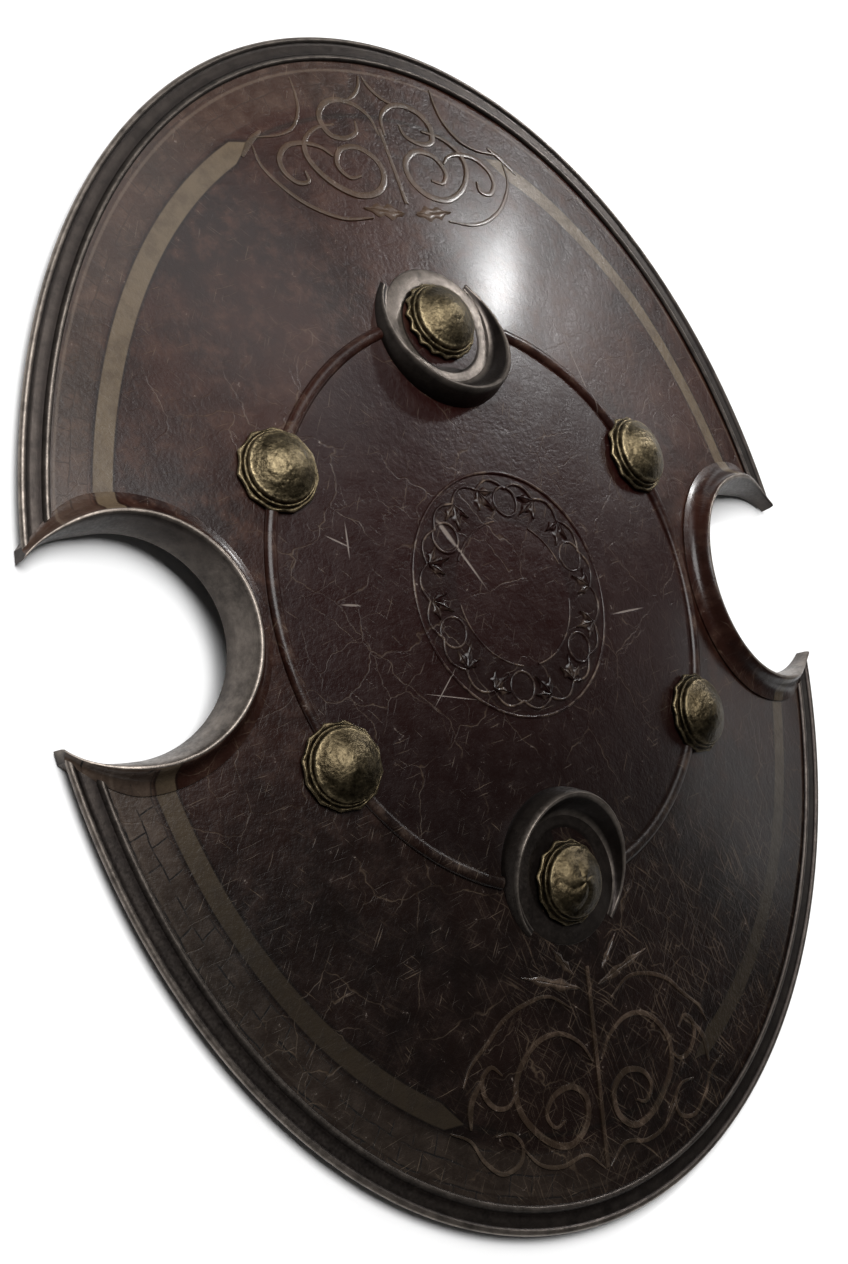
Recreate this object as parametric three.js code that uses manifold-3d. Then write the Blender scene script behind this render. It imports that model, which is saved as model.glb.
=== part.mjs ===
// An oval targe with a round cut-out in each side, lying face up on its rim.
// Millimetres, +Z up. +X is to the right seen from the front, +Y to the top of the shield.
// The origin is on the floor under the middle of the dome.
import * as THREE from 'three';
import Module from 'manifold-3d';

// Outline and dome of the front
const HALF_WIDTH = 254;
const HALF_HEIGHT = 310;
const EDGE_HEIGHT = 6;
const DOME_RISE = 39;
const DOME_FULLNESS = 0.4;
const OUTLINE_SIDES = 60;
const GAP = 0.3;

// Leather-covered board
const BOARD_THICKNESS = 6;
const BOARD_INSET = 10.3;
const MEDALLION_RADIUS = 62.5;
const MEDALLION_INNER_RADIUS = 37;
const GROOVE_WIDTH = 3;
const GROOVE_DEPTH = 0.9;

// Oval bead that links the six bosses
const BEAD_HALF_WIDTH = 138;
const BEAD_HALF_HEIGHT = 145;
const BEAD_WIDTH = 8.5;
const BEAD_RISE = 2.6;

// Steel rim
const RIM_WIDTH = 14.2;
const RIM_FOOT_INSET = 4.5;

// Side cut-outs and their flared collars
const CUTOUT_X = 213;
const COLLAR_BACK_RADIUS = 52.5;
const COLLAR_CREST_RADIUS = 58.5;
const COLLAR_FOOT_RADIUS = 69.5;
const COLLAR_TIP_FOOT_RADIUS = 61.5;
const BOARD_HOLE_RADIUS = 57;
const COLLAR_RISE = 11.5;
const COLLAR_TIP_RISE = 3.5;
const COLLAR_FADE = 0.13;
const COLLAR_BACK_DEPTH = 8;
const CUTOUT_SIDES = 40;

// Crescent cups around the top and bottom bosses
const CUP_Y = 140.5;
const CUP_FLOOR_RADIUS = 27;
const CUP_CREST_RADIUS = 37;
const CUP_FOOT_RADIUS = 43;
const CUP_RISE = 15;
const CUP_TIP_RISE = 1.2;
const CUP_REACH = THREE.MathUtils.degToRad(132);
const CUP_STEPS = 22;

// Cast bosses
const BOSS_RADIUS = 21;
const BOSS_RISE = 14;
const BOSS_LOBES = 12;
const BOSS_SIDES = 2 * BOSS_LOBES;
const BOSS_SCALLOP = 0.9;
const SIDE_BOSS_X = 121;
const SIDE_BOSS_Y = 71;
const END_BOSS_Y = 144;

// Leather loops on the back, for the forearm and the hand
const STRAP_THICKNESS = 4;
const STRAP_STEPS = 20;
const STRAP_TAB = 22;
const ARM_STRAP = { x: 62, width: 46, span: 70, drop: 27 };
const HAND_GRIP = { x: -78, width: 26, span: 56, drop: 27 };

const LEATHER_COLOUR = 0x3a2724;
const STEEL_COLOUR = 0x2b2827;
const BRASS_COLOUR = 0x6f6238;
const STRAP_COLOUR = 0x3d2a1e;

const wasm = await Module();
wasm.setup();

const smooth = THREE.MathUtils.smoothstep;
const vector = (x, y, z) => new THREE.Vector3(x, y, z);

function ovalFraction(x, y) {
  return Math.hypot(x / HALF_WIDTH, y / HALF_HEIGHT);
}

// Height of the domed front: steepest at the rim, rounded over at the middle.
function faceHeight(x, y) {
  const square = ovalFraction(x, y) ** 2;
  return EDGE_HEIGHT + DOME_RISE * (1 - square) / (1 + DOME_FULLNESS * square);
}

// A level loop of points round an ellipse, lifted by a height function.
function ovalLoop(halfWidth, halfHeight, sides, heightAt, centreX = 0) {
  return Array.from({ length: sides }, (_, side) => {
    const angle = 2 * Math.PI * side / sides;
    const x = centreX + halfWidth * Math.cos(angle);
    const y = halfHeight * Math.sin(angle);
    return vector(x, y, heightAt(x, y));
  });
}

// Skins a closed solid over loops of equal length. A loop of one point closes an end,
// and with wrap the last loop joins the first.
function skin(loops, wrap = false) {
  const starts = [];
  const position = [];
  for (const loop of loops) {
    starts.push(position.length / 3);
    for (const point of loop) position.push(point.x, point.y, point.z);
  }
  const at = (loop, step) => starts[loop] + step % loops[loop].length;
  const index = [];
  const bands = wrap ? loops.length : loops.length - 1;
  for (let band = 0; band < bands; band += 1) {
    const next = (band + 1) % loops.length;
    const sides = Math.max(loops[band].length, loops[next].length);
    for (let side = 0; side < sides; side += 1) {
      const [a, b] = [at(band, side), at(band, side + 1)];
      const [c, d] = [at(next, side + 1), at(next, side)];
      if (a !== b) index.push(a, b, c);
      if (c !== d) index.push(a, c, d);
    }
  }
  const geometry = new THREE.BufferGeometry();
  geometry.setAttribute('position', new THREE.Float32BufferAttribute(position, 3));
  geometry.setIndex(signedVolume(position, index) < 0 ? index.reverse() : index);
  return geometry;
}

// The middle of a loop, as the one point that closes a solid's end.
function middleOf(loop) {
  const sum = loop.reduce((total, point) => total.add(point), vector(0, 0, 0));
  return [sum.divideScalar(loop.length)];
}

function signedVolume(position, index) {
  const corner = (k) => vector().fromArray(position, 3 * index[k]);
  let six = 0;
  for (let k = 0; k < index.length; k += 3) six += corner(k).dot(corner(k + 1).cross(corner(k + 2)));
  return six / 6;
}

function toSolid(geometry) {
  const vertProperties = new Float32Array(geometry.attributes.position.array);
  const triVerts = new Uint32Array(geometry.index.array);
  return new wasm.Manifold(new wasm.Mesh({ numProp: 3, vertProperties, triVerts }));
}

function toGeometry(solid) {
  const mesh = solid.getMesh();
  const geometry = new THREE.BufferGeometry();
  geometry.setAttribute('position', new THREE.BufferAttribute(mesh.vertProperties, 3));
  geometry.setIndex(new THREE.BufferAttribute(mesh.triVerts, 1));
  return geometry;
}

// A straight-sided solid standing on a loop, tall enough to cut through everything.
function prism(loop) {
  const [low, high] = [-40, 120];
  const level = (z) => loop.map(({ x, y }) => vector(x, y, z));
  return toSolid(skin([middleOf(level(low)), level(low), level(high), middleOf(level(high))]));
}

function roundPrism(x, y, radius, sides) {
  return prism(ovalLoop(radius, radius, sides, () => 0).map((point) => point.add(vector(x, y, 0))));
}

// A loop round one cut-out. Its radius runs from one value at the tips on the outline
// to another along the inner arc.
function cutoutLoop(side, tipRadius, arcRadius, heightAt) {
  return Array.from({ length: CUTOUT_SIDES }, (_, step) => {
    const angle = 2 * Math.PI * step / CUTOUT_SIDES;
    const [cosine, sine] = [Math.cos(angle), Math.sin(angle)];
    const crestX = side * CUTOUT_X + COLLAR_CREST_RADIUS * cosine;
    const within = 1 - ovalFraction(crestX, COLLAR_CREST_RADIUS * sine);
    const full = smooth(within, 0, COLLAR_FADE);
    const radius = THREE.MathUtils.lerp(tipRadius, arcRadius, full);
    const [x, y] = [side * CUTOUT_X + radius * cosine, radius * sine];
    return vector(x, y, heightAt(x, y, full));
  });
}

// The domed board, open at the two cut-outs. Growing it by the gap gives the room it needs.
function boardSolid(grow) {
  const front = (x, y) => faceHeight(x, y) + grow;
  const back = (x, y) => faceHeight(x, y) - BOARD_THICKNESS - grow;
  const engraved = (x, y) => front(x, y) - (grow > 0 ? 0 : GROOVE_DEPTH);
  const edge = [HALF_WIDTH - BOARD_INSET + grow, HALF_HEIGHT - BOARD_INSET + grow];
  const between = (part) => edge.map((half) => MEDALLION_RADIUS + (half - MEDALLION_RADIUS) * part);
  const ring = (radius, heightAt) => ovalLoop(radius, radius, OUTLINE_SIDES, heightAt);
  const oval = (part, heightAt) => ovalLoop(...between(part), OUTLINE_SIDES, heightAt);
  const groove = (radius) => [
    ring(radius - GROOVE_WIDTH / 2, front),
    ring(radius, engraved),
    ring(radius + GROOVE_WIDTH / 2, front),
  ];
  const loops = [
    [vector(0, 0, front(0, 0))],
    ...groove(MEDALLION_INNER_RADIUS),
    ...groove(MEDALLION_RADIUS),
    ...[0.25, 0.5, 0.75, 1].map((part) => oval(part, front)),
    ...[1, 0.7, 0.4, 0.1].map((part) => oval(part, back)),
    [vector(0, 0, back(0, 0))],
  ];
  const hole = BOARD_HOLE_RADIUS - grow;
  const cut = [-1, 1].map((side) => roundPrism(side * CUTOUT_X, 0, hole, CUTOUT_SIDES));
  return toSolid(skin(loops)).subtract(cut[0]).subtract(cut[1]);
}

// A low half-round bead along the oval of bosses, stopped where bosses and cups sit on it.
function beadSolid() {
  const sink = -2;
  const section = [[-0.5, sink], [-0.45, 0.3], [0, 1], [0.45, 0.3], [0.5, sink]];
  const loops = section.map(([across, rise]) => {
    const lift = rise > 0 ? rise * BEAD_RISE : rise;
    const out = across * BEAD_WIDTH;
    const heightAt = (x, y) => faceHeight(x, y) + lift;
    return ovalLoop(BEAD_HALF_WIDTH + out, BEAD_HALF_HEIGHT + out, OUTLINE_SIDES, heightAt);
  });
  let bead = toSolid(skin(loops, true));
  for (const [x, y] of bossPlaces()) {
    const clear = (x === 0 ? CUP_FOOT_RADIUS : BOSS_RADIUS + BOSS_SCALLOP) + 2 * GAP;
    bead = bead.subtract(roundPrism(x, x === 0 ? Math.sign(y) * CUP_Y : y, clear, BOSS_SIDES));
  }
  return bead;
}

// A steel moulding round the edge: raised outer lip, plain band and inner bead,
// with a rebate below that takes the edge of the board.
function rimSolid() {
  const inner = BOARD_INSET - GAP;
  const foot = [RIM_FOOT_INSET, () => 0];
  const lip = [[0, -0.4], [0, 0.5], [0.9, 1.6], [2.4, 1.7], [3.6, 0.5]];
  const innerBead = [[10.6, 0.5], [11.6, 1.9], [13.2, 1.9], [RIM_WIDTH, 0.9]];
  const rebate = [[RIM_WIDTH, GAP], [inner, GAP]];
  const raised = [...lip, ...innerBead, ...rebate].map(([inset, rise]) =>
    [inset, (x, y) => faceHeight(x, y) + rise]);
  const section = [foot, ...raised, [inner, () => 0]];
  const loops = section.map(([inset, heightAt]) =>
    ovalLoop(HALF_WIDTH - inset, HALF_HEIGHT - inset, OUTLINE_SIDES, heightAt));
  const cut = [-1, 1].map((side) =>
    prism(cutoutLoop(side, COLLAR_TIP_FOOT_RADIUS + GAP, COLLAR_FOOT_RADIUS + GAP, () => 0)));
  return toSolid(skin(loops, true)).subtract(cut[0]).subtract(cut[1]);
}

// A flared steel collar round one cut-out, gripping the board: a funnel to the hole inside
// and a hollow-curved flank outside. All of it draws together to a point at the tips.
function collarSolid(side, boardRoom) {
  const flank = COLLAR_FOOT_RADIUS - COLLAR_CREST_RADIUS;
  const tipFlank = COLLAR_TIP_FOOT_RADIUS - COLLAR_CREST_RADIUS;
  const backHeight = (x, y) => Math.max(0, faceHeight(x, y) - COLLAR_BACK_DEPTH);
  const over = (part) => (x, y, full) => {
    const rise = THREE.MathUtils.lerp(COLLAR_TIP_RISE, COLLAR_RISE, full);
    return Math.max(faceHeight(x, y), EDGE_HEIGHT) + part * rise;
  };
  const outward = (part) => [COLLAR_CREST_RADIUS + part * tipFlank, COLLAR_CREST_RADIUS + part * flank];
  const section = [
    [COLLAR_CREST_RADIUS - 1.2, COLLAR_BACK_RADIUS, backHeight],
    [COLLAR_CREST_RADIUS - 1, COLLAR_BACK_RADIUS + 1, over(0)],
    [COLLAR_CREST_RADIUS - 0.6, COLLAR_CREST_RADIUS - 1.8, over(0.85)],
    [COLLAR_CREST_RADIUS, COLLAR_CREST_RADIUS, over(1)],
    [...outward(0.17), over(0.88)],
    [...outward(0.38), over(0.45)],
    [...outward(0.68), over(0.2)],
    [...outward(1), over(0.12)],
    [...outward(1), backHeight],
  ];
  const loops = section.map(([tip, arc, heightAt]) => cutoutLoop(side, tip, arc, heightAt));
  const outline = prism(ovalLoop(HALF_WIDTH, HALF_HEIGHT, OUTLINE_SIDES, () => 0));
  return toSolid(skin(loops, true)).intersect(outline).subtract(boardRoom);
}

// A crescent lip round an end boss: a funnel inside, a steep flank outside,
// tallest towards the middle of the shield and running out into the face.
function cupGeometry(end) {
  const loops = Array.from({ length: CUP_STEPS + 1 }, (_, step) => {
    const turn = CUP_REACH * (2 * step / CUP_STEPS - 1);
    const fade = Math.cos(Math.PI / 2 * turn / CUP_REACH) ** 1.2;
    const rise = CUP_TIP_RISE + (CUP_RISE - CUP_TIP_RISE) * fade;
    const foot = CUP_CREST_RADIUS + (CUP_FOOT_RADIUS - CUP_CREST_RADIUS) * (0.35 + 0.65 * fade);
    const floor = CUP_CREST_RADIUS - (CUP_CREST_RADIUS - CUP_FLOOR_RADIUS) * (0.35 + 0.65 * fade);
    const middle = (floor + CUP_CREST_RADIUS) / 2;
    const section = [
      [floor, GAP],
      [floor, GAP + 0.4],
      [middle, 0.4 * rise],
      [CUP_CREST_RADIUS - 1.2, 0.94 * rise],
      [CUP_CREST_RADIUS + 0.4, rise],
      [CUP_CREST_RADIUS + 1.6, 0.92 * rise],
      [foot, 0.14 * rise + GAP],
      [foot, GAP],
    ];
    return section.map(([radius, height]) => {
      const x = radius * Math.sin(turn);
      const y = end * (CUP_Y - radius * Math.cos(turn));
      return vector(x, y, faceHeight(x, y) + height);
    });
  });
  return skin([middleOf(loops[0]), ...loops, middleOf(loops.at(-1))]);
}

// A cast boss about its own axis: scalloped skirt, groove, ring step and a dome with a bud at its tip.
function bossGeometry() {
  const profile = [
    [0.84, 0, 0], [0.97, 0.08, 1], [0.97, 0.24, 1], [0.8, 0.36, 0.5], [0.75, 0.3, 0],
    [0.68, 0.47, 0], [0.5, 0.72, 0], [0.22, 0.9, 0],
  ];
  const loops = profile.map(([part, height, scallop]) =>
    Array.from({ length: BOSS_SIDES }, (_, side) => {
      const angle = 2 * Math.PI * side / BOSS_SIDES;
      const radius = part * BOSS_RADIUS + scallop * BOSS_SCALLOP * Math.cos(BOSS_LOBES * angle);
      return vector(radius * Math.cos(angle), radius * Math.sin(angle), height * BOSS_RISE);
    }));
  return skin([[vector(0, 0, 0)], ...loops, [vector(0, 0, BOSS_RISE)]]);
}

function bossPlaces() {
  const sides = [[-1, 1], [1, 1], [-1, -1], [1, -1]].map(([x, y]) => [x * SIDE_BOSS_X, y * SIDE_BOSS_Y]);
  return [[0, END_BOSS_Y], ...sides, [0, -END_BOSS_Y]];
}

function faceNormal(x, y) {
  const step = 0.5;
  const slopeX = (faceHeight(x + step, y) - faceHeight(x - step, y)) / (2 * step);
  const slopeY = (faceHeight(x, y + step) - faceHeight(x, y - step)) / (2 * step);
  return vector(-slopeX, -slopeY, 1).normalize();
}

// A leather loop across the back: flat tabs against the board at both ends, standing off between them.
function strapGeometry({ x: middle, width, span, drop }) {
  const reach = span + STRAP_TAB;
  const loops = Array.from({ length: STRAP_STEPS + 1 }, (_, step) => {
    const y = reach * (2 * step / STRAP_STEPS - 1);
    const stand = drop * Math.max(0, 1 - Math.abs(y / span) ** 4);
    const corner = (side, depth) => {
      const x = middle + side * width / 2;
      return vector(x, y, faceHeight(x, y) - BOARD_THICKNESS - 2 * GAP - stand - depth);
    };
    return [corner(-1, 0), corner(1, 0), corner(1, STRAP_THICKNESS), corner(-1, STRAP_THICKNESS)];
  });
  return skin([middleOf(loops[0]), ...loops, middleOf(loops.at(-1))]);
}

function piece(name, geometry, color, roughness, metalness) {
  const mesh = new THREE.Mesh(geometry, new THREE.MeshStandardMaterial({ color, roughness, metalness }));
  mesh.name = name;
  return mesh;
}

const leather = (name, geometry) => piece(name, geometry, LEATHER_COLOUR, 0.55, 0);
const steel = (name, solid) => piece(name, toGeometry(solid), STEEL_COLOUR, 0.45, 0.9);
const strap = (name, size) => piece(name, strapGeometry(size), STRAP_COLOUR, 0.7, 0);

const shield = new THREE.Group();
shield.name = 'targe';

shield.add(leather('board', toGeometry(boardSolid(0).add(beadSolid()))));

const boardRoom = boardSolid(GAP);
shield.add(steel('left_collar', collarSolid(-1, boardRoom)));
shield.add(steel('right_collar', collarSolid(1, boardRoom)));

for (const arc of rimSolid().decompose()) {
  const { min, max } = arc.boundingBox();
  shield.add(steel(min[1] + max[1] > 0 ? 'upper_rim' : 'lower_rim', arc));
}

for (const [name, end] of [['upper_cup', 1], ['lower_cup', -1]]) {
  shield.add(piece(name, cupGeometry(end), STEEL_COLOUR, 0.45, 0.9));
}

function bossName(x, y) {
  if (x === 0) return y > 0 ? 'top_boss' : 'bottom_boss';
  return `${y > 0 ? 'upper' : 'lower'}_${x < 0 ? 'left' : 'right'}_boss`;
}

for (const [x, y] of bossPlaces()) {
  const boss = piece(bossName(x, y), bossGeometry(), BRASS_COLOUR, 0.4, 0.95);
  const up = faceNormal(x, y);
  boss.quaternion.setFromUnitVectors(vector(0, 0, 1), up);
  boss.position.set(x, y, faceHeight(x, y)).addScaledVector(up, GAP);
  shield.add(boss);
}

shield.add(strap('arm_strap', ARM_STRAP), strap('hand_grip', HAND_GRIP));

export default shield;
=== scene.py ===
# %% [markdown]
# This lesson dresses a targe: a light oval shield, domed like a shallow bowl, with a round bite out of
# each side. The solids are the shield's plain forms. Here each gets a finer skin, made as a numpy
# surface, and an aged finish.

# %% Load the solids
import math
import bpy
import numpy as np
from mathutils import Matrix, Vector


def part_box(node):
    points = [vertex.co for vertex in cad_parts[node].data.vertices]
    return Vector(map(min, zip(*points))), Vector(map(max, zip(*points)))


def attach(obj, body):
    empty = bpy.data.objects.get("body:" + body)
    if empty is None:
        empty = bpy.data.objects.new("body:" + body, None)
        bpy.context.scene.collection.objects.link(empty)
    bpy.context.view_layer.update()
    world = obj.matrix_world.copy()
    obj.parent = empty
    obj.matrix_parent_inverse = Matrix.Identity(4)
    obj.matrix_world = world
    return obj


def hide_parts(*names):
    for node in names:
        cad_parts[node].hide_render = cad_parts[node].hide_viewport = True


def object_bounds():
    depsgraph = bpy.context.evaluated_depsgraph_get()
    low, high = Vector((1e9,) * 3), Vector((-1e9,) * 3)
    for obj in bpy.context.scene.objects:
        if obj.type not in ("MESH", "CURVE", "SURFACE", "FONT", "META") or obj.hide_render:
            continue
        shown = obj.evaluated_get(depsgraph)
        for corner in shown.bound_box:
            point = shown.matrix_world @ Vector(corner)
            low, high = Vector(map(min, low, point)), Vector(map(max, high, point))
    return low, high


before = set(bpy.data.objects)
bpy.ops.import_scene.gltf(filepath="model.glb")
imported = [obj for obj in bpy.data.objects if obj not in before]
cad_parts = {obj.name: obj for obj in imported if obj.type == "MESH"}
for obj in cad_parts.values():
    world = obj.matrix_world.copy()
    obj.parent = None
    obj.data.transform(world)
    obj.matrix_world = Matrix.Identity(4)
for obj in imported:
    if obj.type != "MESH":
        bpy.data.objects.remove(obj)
solid_low, solid_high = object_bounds()
print("solids:", len(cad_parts), "nodes,", [round(v, 4) for v in solid_high - solid_low], "m")

# %% [markdown]
# Sizes below are in millimetres, as a leather worker would write them, and turn into metres when a mesh
# is made. Everything on the front sits on one domed face, so its height at any point of the plan is the
# first formula.

# %% The domed face
MM = 0.001
HALF_WIDTH = 254.0
HALF_HEIGHT = solid_high.y / MM
EDGE_HEIGHT = 6.0
DOME_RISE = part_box("board")[1].z / MM - EDGE_HEIGHT
DOME_FULLNESS = 0.4


def oval_fraction(x, y):
    """How far out a point of the plan lies: 0 in the middle, 1 on the oval outline."""
    return np.hypot(x / HALF_WIDTH, y / HALF_HEIGHT)


def face_height(x, y):
    """The edge height plus the rise times (1 - s) / (1 + fullness s), with s the oval fraction squared."""
    s = oval_fraction(x, y) ** 2
    return EDGE_HEIGHT + DOME_RISE * (1 - s) / (1 + DOME_FULLNESS * s)


def face_normal(x, y):
    """The upright direction tilted by the slope of the face, which is measured over half a millimetre."""
    slope_x = face_height(x + 0.5, y) - face_height(x - 0.5, y)
    slope_y = face_height(x, y + 0.5) - face_height(x, y - 0.5)
    normal = np.stack([-slope_x, -slope_y, np.ones_like(slope_x)], axis=-1)
    return normal / np.linalg.norm(normal, axis=-1, keepdims=True)


def on_face(x, y, lift=0.0):
    """Points over (x, y), lifted off the face along its normal."""
    x, y, lift = np.broadcast_arrays(np.asarray(x, float), np.asarray(y, float), np.asarray(lift, float))
    return np.stack([x, y, face_height(x, y)], axis=-1) + lift[..., None] * face_normal(x, y)


print("face: edge", EDGE_HEIGHT, "mm, middle", round(float(face_height(0.0, 0.0)), 2), "mm")

# %% [markdown]
# A surface is a grid of points, one row per step along it. Neighbouring rows are joined by quads, and a
# last corner that repeats makes a triangle, for the fans that close an end. A skin is three arrays:
# points, faces, and how worn each point is, from 0 in a hollow to 1 on an edge that hands and cloths have
# rubbed bright.

# %% Skins from grids of points


def grid_quads(rows, columns, close_rows=False, close_columns=False):
    """Quads between neighbours of a grid numbered row by row. A closed direction joins its two ends."""
    row = np.arange(rows if close_rows else rows - 1)
    column = np.arange(columns if close_columns else columns - 1)
    row, column = np.meshgrid(row, column, indexing="ij")
    next_row = (row + 1) % rows
    next_column = (column + 1) % columns
    corners = [(row, column), (row, next_column), (next_row, next_column), (next_row, column)]
    return np.stack([r * columns + c for r, c in corners], axis=-1).reshape(-1, 4)


def outward(points, faces, worn):
    """The skin with its faces turned outwards: the volume that the faces enclose is made positive."""
    a, b, c, d = (points[faces[:, k]] for k in range(4))
    volume = np.sum(a * (np.cross(b, c) + np.cross(c, d)))
    return points, faces if volume > 0 else faces[:, [1, 0, 3, 2]], worn


def tube(grid, worn=0.0, ring=False):
    """A skin whose rows are closed cross sections. Fans fill its two ends, unless the rows form a ring."""
    rows, columns = grid.shape[:2]
    faces = grid_quads(rows, columns, close_rows=ring, close_columns=True)
    if not ring:
        fan = np.arange(1, columns - 1)
        start = np.stack([0 * fan, fan + 1, fan, fan], axis=-1)
        end = np.stack([0 * fan, fan, fan + 1, fan + 1], axis=-1) + (rows - 1) * columns
        faces = np.concatenate([faces, start, end])
    return outward(grid.reshape(-1, 3), faces, np.broadcast_to(worn, (rows, columns)).ravel())


def cap(grid, bottom, tip, worn=0.0):
    """A skin whose rows are rings stacked from a bottom point to a tip point."""
    rows, columns = grid.shape[:2]
    here = np.arange(columns)
    there = (here + 1) % columns
    last = (rows - 1) * columns
    under = rows * columns + 0 * here
    below = np.stack([there, here, under, under], axis=-1)
    above = np.stack([last + here, last + there, under + 1, under + 1], axis=-1)
    faces = np.concatenate([grid_quads(rows, columns, close_columns=True), below, above])
    points = np.concatenate([grid.reshape(-1, 3), [bottom, tip]])
    worn = np.broadcast_to(worn, (rows, columns))
    return outward(points, faces, np.concatenate([worn.ravel(), worn[0, :1], worn[-1, :1]]))


def joined(skins):
    """Several skins as one, each numbered after the points of those before it."""
    starts = np.cumsum([0] + [len(points) for points, faces, worn in skins])
    faces = np.concatenate([skin[1] + start for skin, start in zip(skins, starts)])
    return np.concatenate([s[0] for s in skins]), faces, np.concatenate([s[2] for s in skins])


def add_piece(name, skin, nodes, materials, material_index=None, sharp=35):
    """A mesh object from a skin, riding on the shield. Edges sharper than the angle in degrees stay crisp."""
    points, faces, worn = skin
    keep = np.ones(faces.shape, bool)
    keep[:, 3] = faces[:, 3] != faces[:, 2]
    corners = keep.sum(axis=1)
    mesh = bpy.data.meshes.new(name)
    mesh.vertices.add(len(points))
    mesh.vertices.foreach_set("co", (points * MM).astype(np.float32).ravel())
    mesh.loops.add(int(corners.sum()))
    mesh.loops.foreach_set("vertex_index", faces[keep].astype(np.int32))
    mesh.polygons.add(len(faces))
    mesh.polygons.foreach_set("loop_start", np.concatenate([[0], np.cumsum(corners)[:-1]]).astype(np.int32))
    for material in materials:
        mesh.materials.append(material)
    if material_index is not None:
        mesh.polygons.foreach_set("material_index", material_index.astype(np.int32))
    attribute = mesh.attributes.new("worn", "FLOAT", "POINT")
    attribute.data.foreach_set("value", np.asarray(worn, np.float32))
    mesh.update(calc_edges=True)
    mesh.validate()
    mesh.shade_smooth()
    mesh.set_sharp_from_angle(angle=math.radians(sharp))
    piece = bpy.data.objects.new(name, mesh)
    bpy.context.scene.collection.objects.link(piece)
    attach(piece, "root")
    if nodes:
        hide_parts(*nodes)
    print(name, "has", int((corners - 2).sum()), "triangles")
    return piece


# %% [markdown]
# Materials come next, because every piece needs one. Colours are written as the usual sRGB hex and made
# linear. Texture coordinates are the object's own, in millimetres, so a pattern's scale is one over its
# real size.

# %% Helpers for materials


def colour(text):
    """Linear RGBA from sRGB hex: a part p becomes ((p + 0.055) / 1.055) ^ 2.4, or p / 12.92 near black."""
    parts = np.array([int(text[k:k + 2], 16) / 255 for k in (1, 3, 5)])
    linear = np.where(parts > 0.04045, ((parts + 0.055) / 1.055) ** 2.4, parts / 12.92)
    return (*linear.tolist(), 1.0)


def add(tree, kind, inputs, **settings):
    """Adds one node with its settings, fills its inputs with values or links, and returns its outputs."""
    node = tree.nodes.new("ShaderNode" + kind)
    for name, value in settings.items():
        setattr(node, name, value)
    for socket, value in inputs.items():
        if isinstance(value, bpy.types.NodeSocket):
            tree.links.new(value, node.inputs[socket])
        else:
            node.inputs[socket].default_value = value
    return node.outputs


def new_material(name):
    """An empty material and its coordinates in millimetres."""
    material = bpy.data.materials.new(name)
    material.use_nodes = True
    tree = material.node_tree
    tree.nodes.clear()
    place = add(tree, "TexCoord", {})["Object"]
    return material, tree, add(tree, "VectorMath", {0: place, "Scale": 1 / MM}, operation="SCALE")[0]


SMOOTH = {"interpolation_type": "SMOOTHSTEP"}
COLOURS = {"data_type": "RGBA"}

# %% [markdown]
# Tooled leather covers the front: hide that was dyed, tooled while wet, varnished, and worn for years. To
# the eye it is a nearly black red-brown with a dull, broken shine. Its colour is built up in layers, as
# on the real hide, and each layer is a mask that mixes one more colour over those below it. The first is
# the dye: two browns in broad clouds, greyer where dust sits, redder inside the oval and darker under the
# medallion.

# %% The dyed hide
INNER_HALF_WIDTH = 138.0
INNER_HALF_HEIGHT = 145.0
RING_GROUND_RADIUS = 48.5
FLAT = {"noise_dimensions": "2D"}


def dyed_hide(tree, place, cloud, mottle):
    """The dye's colour, and the dust on it. Inside the oval, (x / a, y / b) has a length under 1."""
    cloudy = add(tree, "MapRange", {0: cloud, 1: 0.3, 2: 0.72}, **SMOOTH)[0]
    dusty = add(tree, "MapRange", {0: mottle, 1: 0.42, 2: 0.8}, **SMOOTH)[0]
    base = add(tree, "Mix", {0: cloudy, 6: colour("#1b0c08"), 7: colour("#2d160f")}, **COLOURS)[2]
    base = add(tree, "Mix", {0: dusty, 6: base, 7: colour("#3a241b")}, **COLOURS)[2]

    inner = add(tree, "VectorMath", {0: place, 1: (1 / INNER_HALF_WIDTH, 1 / INNER_HALF_HEIGHT, 0)},
                operation="MULTIPLY")[0]
    inner = add(tree, "VectorMath", {0: inner}, operation="LENGTH")["Value"]
    inside = add(tree, "MapRange", {0: inner, 1: 1.02, 2: 0.94, 4: 0.85}, **SMOOTH)[0]
    base = add(tree, "Mix", {0: inside, 6: base, 7: colour("#1b0706")}, **COLOURS)[2]

    from_centre = add(tree, "VectorMath", {0: place, 1: (1, 1, 0)}, operation="MULTIPLY")[0]
    from_centre = add(tree, "VectorMath", {0: from_centre}, operation="LENGTH")["Value"]
    from_ring = add(tree, "Math", {0: from_centre, 1: RING_GROUND_RADIUS}, operation="SUBTRACT")[0]
    from_ring = add(tree, "Math", {0: from_ring}, operation="ABSOLUTE")[0]
    ring_ground = add(tree, "MapRange", {0: from_ring, 1: 13.0, 2: 10.0, 4: 0.3}, **SMOOTH)[0]
    base = add(tree, "Mix", {0: ring_ground, 6: base, 7: colour("#080403")}, **COLOURS)[2]
    return base, dusty


# %% [markdown]
# Beside the rim the leather has dried out, most of all on the left and low down. It is paler there and
# has cracked into flakes that lie in rows round the shield. A brick pattern gives such rows once it is
# bent round the oval: its first coordinate is the angle and its second the oval fraction, both times the
# mean radius.

# %% The dry border
LEATHER_EDGE_HIGHLIGHT = 0.937
MEAN_RADIUS = 282.0
FLAKES = {"Scale": 1.0, "Mortar Size": 0.5, "Mortar Smooth": 0.4, "Brick Width": 16.0, "Row Height": 9.5}


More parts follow.
